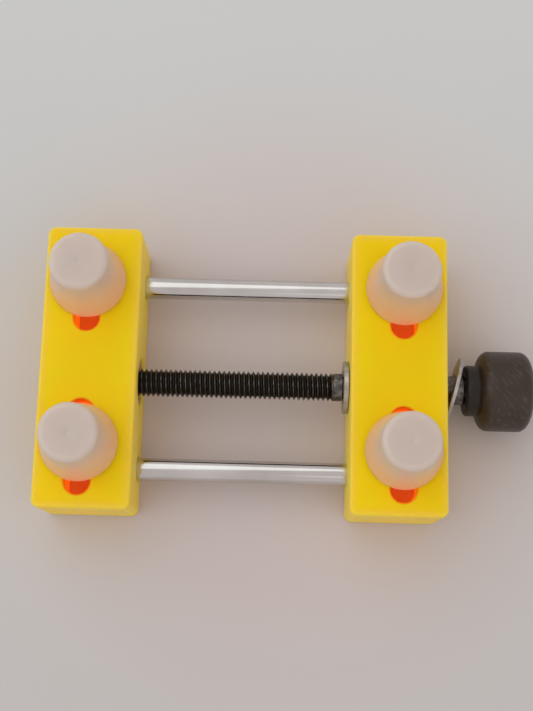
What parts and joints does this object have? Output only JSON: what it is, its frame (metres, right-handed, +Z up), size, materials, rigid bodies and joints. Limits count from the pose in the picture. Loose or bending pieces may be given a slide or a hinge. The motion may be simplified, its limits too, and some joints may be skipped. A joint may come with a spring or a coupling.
{
  "type": "watch movement holder",
  "caption": "Adjustable holder for a watch movement: two slotted plastic jaws on guide rods, drawn together by a knob and screw, with sliding tapered nylon pegs.",
  "frame": {"origin": "on the surface the jaws stand on, at the middle of the overall length and width", "axes": "+X along the lead screw towards the knob, +Y towards the back pegs, +Z up through the pegs"},
  "size_m": [0.07, 0.04, 0.0226],
  "materials": {
    "yellow_plastic": "satin moulded, slightly translucent yellow",
    "nylon": "milky translucent nylon",
    "polished_steel": "polished rod",
    "black_steel": "black oxide",
    "stud_steel": "plain threaded steel",
    "zinc_steel": "dull zinc plated",
    "brass": "turned brass",
    "black_plastic": "satin black moulding"
  },
  "bodies": {
    "fixed_jaw": {"jaw_right": "yellow_plastic", "guide_rod_front": "polished_steel", "guide_rod_back": "polished_steel"},
    "sliding_jaw": {"jaw_left": "yellow_plastic", "threaded_insert": "brass"},
    "screw": {"lead_screw": "black_steel", "knob": "black_plastic", "retaining_clip": "zinc_steel"},
    "washer": {"thrust_washer": "zinc_steel"},
    "nut_back_right_body": {"peg_nut_back_right": "brass"},
    "peg_back_right_body": {"peg_back_right": "nylon", "peg_stud_back_right": "stud_steel"},
    "nut_front_right_body": {"peg_nut_front_right": "brass"},
    "peg_front_right_body": {"peg_front_right": "nylon", "peg_stud_front_right": "stud_steel"},
    "nut_back_left_body": {"peg_nut_back_left": "brass"},
    "peg_back_left_body": {"peg_back_left": "nylon", "peg_stud_back_left": "stud_steel"},
    "nut_front_left_body": {"peg_nut_front_left": "brass"},
    "peg_front_left_body": {"peg_front_left": "nylon", "peg_stud_front_left": "stud_steel"}
  },
  "joints": [
    {"name": "screw_spin", "type": "hinge", "parent": "fixed_jaw", "child": "screw", "pos_m": [0.0285, -0.0012, 0.00625], "axis": [-1, 0, 0], "range_deg": [-1029, 14401]},
    {"name": "jaw_slide", "type": "slide", "parent": "fixed_jaw", "child": "sliding_jaw", "axis": [1, 0, 0], "range_m": [-0.002, 0.028]},
    {"name": "washer_spin", "type": "hinge", "parent": "screw", "child": "washer", "pos_m": [0.02355, -0.0012, 0.00625], "axis": [1, 0, 0], "continuous": true},
    {"name": "peg_back_right_slide", "type": "slide", "parent": "fixed_jaw", "child": "nut_back_right_body", "axis": [0, 1, 0], "range_m": [-0.0054, 0.0042]},
    {"name": "peg_back_right_turn", "type": "hinge", "parent": "nut_back_right_body", "child": "peg_back_right_body", "pos_m": [0.01585, 0.0121, 0.0125], "axis": [0, 0, 1], "range_deg": [0, 180]},
    {"name": "peg_front_right_slide", "type": "slide", "parent": "fixed_jaw", "child": "nut_front_right_body", "axis": [0, 1, 0], "range_m": [-0.0053, 0.0043]},
    {"name": "peg_front_right_turn", "type": "hinge", "parent": "nut_front_right_body", "child": "peg_front_right_body", "pos_m": [0.01585, -0.011, 0.0125], "axis": [0, 0, 1], "range_deg": [0, 180]},
    {"name": "peg_back_left_slide", "type": "slide", "parent": "sliding_jaw", "child": "nut_back_left_body", "axis": [0, 1, 0], "range_m": [-0.0054, 0.0042]},
    {"name": "peg_back_left_turn", "type": "hinge", "parent": "nut_back_left_body", "child": "peg_back_left_body", "pos_m": [-0.02885, 0.0121, 0.0125], "axis": [0, 0, 1], "range_deg": [0, 180]},
    {"name": "peg_front_left_slide", "type": "slide", "parent": "sliding_jaw", "child": "nut_front_left_body", "axis": [0, 1, 0], "range_m": [-0.0053, 0.0043]},
    {"name": "peg_front_left_turn", "type": "hinge", "parent": "nut_front_left_body", "child": "peg_front_left_body", "pos_m": [-0.02885, -0.011, 0.0125], "axis": [0, 0, 1], "range_deg": [0, 180]}
  ],
  "couplings": [
    {"joint": "screw_spin", "follows": "jaw_slide", "rad_per_m": 8976}
  ]
}
